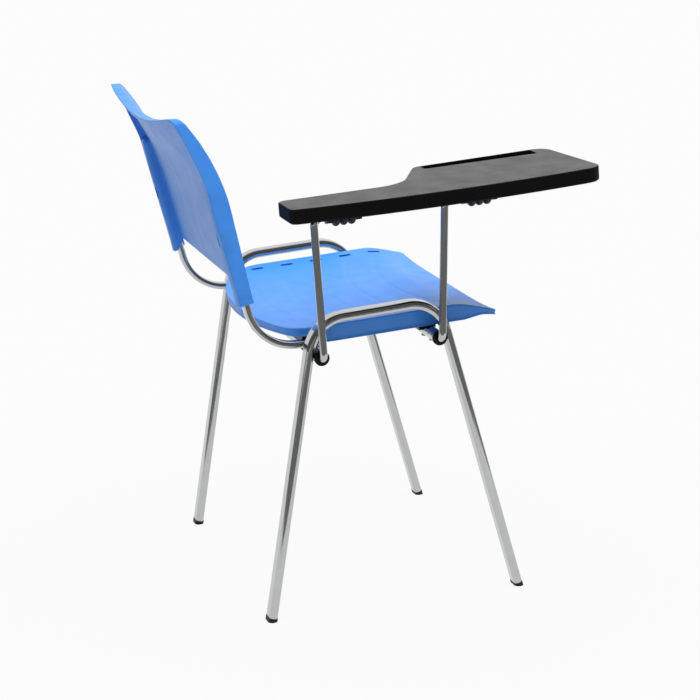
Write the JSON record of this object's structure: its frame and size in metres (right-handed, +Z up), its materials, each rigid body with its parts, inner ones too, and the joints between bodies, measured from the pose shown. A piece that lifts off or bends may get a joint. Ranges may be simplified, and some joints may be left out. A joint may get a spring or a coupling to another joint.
{
  "type": "tablet arm chair",
  "caption": "Stackable chair with moulded seat and back on a bent flat-oval tube frame, and a tip-up writing tablet on the sitter's right.",
  "frame": {"origin": "on the floor, under the middle of the chair's bounding box with the tablet level", "axes": "+Z up; the sitter faces -Y; +X is the sitter's left, so the tablet is on the -X side"},
  "size_m": [0.5772, 0.6699, 0.7995],
  "materials": {
    "chromed_tube": "bright chrome plate",
    "blue_shell": "fine satin grain",
    "black_tablet": "fine satin grain",
    "black_moulding": "plain moulded",
    "foot_plastic": "plain moulded",
    "black_screw": "black oxide",
    "zinc_steel": "zinc plated"
  },
  "bodies": {
    "chair": {"side_frame_right": "chromed_tube", "side_frame_left": "chromed_tube", "back_upright_right": "chromed_tube", "back_upright_left": "chromed_tube", "rear_cross_tube": "chromed_tube", "front_cross_tube": "chromed_tube", "tablet_post_rear": "chromed_tube", "tablet_post_front": "chromed_tube", "seat_shell": "blue_shell", "back_shell": "blue_shell", "seat_saddle_rear_right": "black_moulding", "seat_saddle_rear_left": "black_moulding", "seat_saddle_front_right": "black_moulding", "seat_saddle_front_left": "black_moulding", "post_bush_rear": "black_moulding", "post_bush_front": "black_moulding", "cross_tube_plug_rear": "black_moulding", "cross_tube_plug_front": "black_moulding", "upright_plug_right": "black_moulding", "upright_plug_left": "black_moulding", "foot_cap_rear_right": "foot_plastic", "foot_cap_rear_left": "foot_plastic", "foot_cap_front_right": "foot_plastic", "foot_cap_front_left": "foot_plastic", "hinge_stop_pins": "zinc_steel", "seat_screws": "zinc_steel", "post_set_screws": "zinc_steel"},
    "tablet": {"tablet_top": "black_tablet", "hinge_clamp_rear": "black_moulding", "hinge_clamp_front": "black_moulding", "hinge_base_rear": "black_moulding", "hinge_base_front": "black_moulding", "hinge_screws": "black_screw"}
  },
  "joints": [
    {"name": "tablet_tip", "type": "hinge", "parent": "chair", "child": "tablet", "pos_m": [-0.2494, 0.00698, 0.6481], "axis": [0, -0.9989, 0.0478], "range_deg": [0, 65]}
  ]
}
